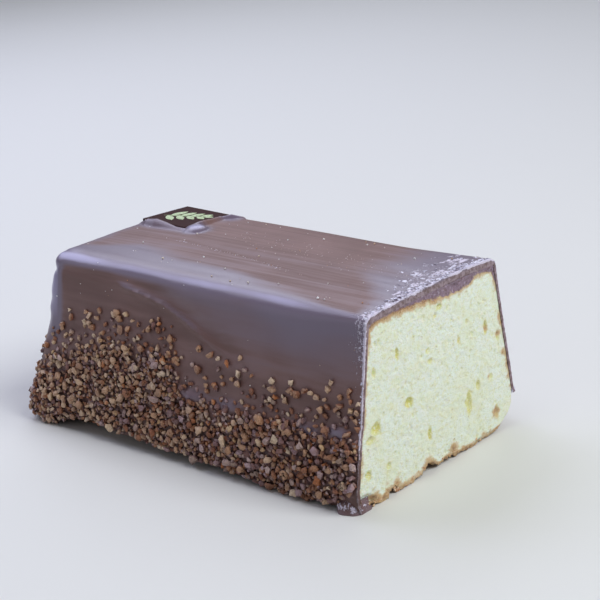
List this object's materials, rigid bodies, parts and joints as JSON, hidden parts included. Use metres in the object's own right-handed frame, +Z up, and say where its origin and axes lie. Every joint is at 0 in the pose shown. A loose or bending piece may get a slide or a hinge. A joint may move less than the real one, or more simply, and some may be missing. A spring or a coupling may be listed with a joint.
{
  "type": "half chocolate cake",
  "caption": "Half of a loaf cake cut across, with pale yellow crumb, a milk chocolate coating, chopped nuts round its lower sides and a dark chocolate plaque on top.",
  "frame": {"origin": "on the board, under the middle of the cake's bounding box", "axes": "+X along the loaf towards the cut face, +Y towards the long side turned away in the picture, +Z up"},
  "size_m": [0.1727, 0.1016, 0.0711],
  "materials": {
    "sponge": "matte, open cake crumb with a browned crust",
    "milk_chocolate": "satin milk chocolate with chopped roasted nuts",
    "dark_chocolate": "satin dark chocolate with a pale green print"
  },
  "bodies": {
    "root": {"cake_sponge": "sponge", "chocolate_coating": "milk_chocolate", "chocolate_plaque": "dark_chocolate"}
  },
  "joints": []
}
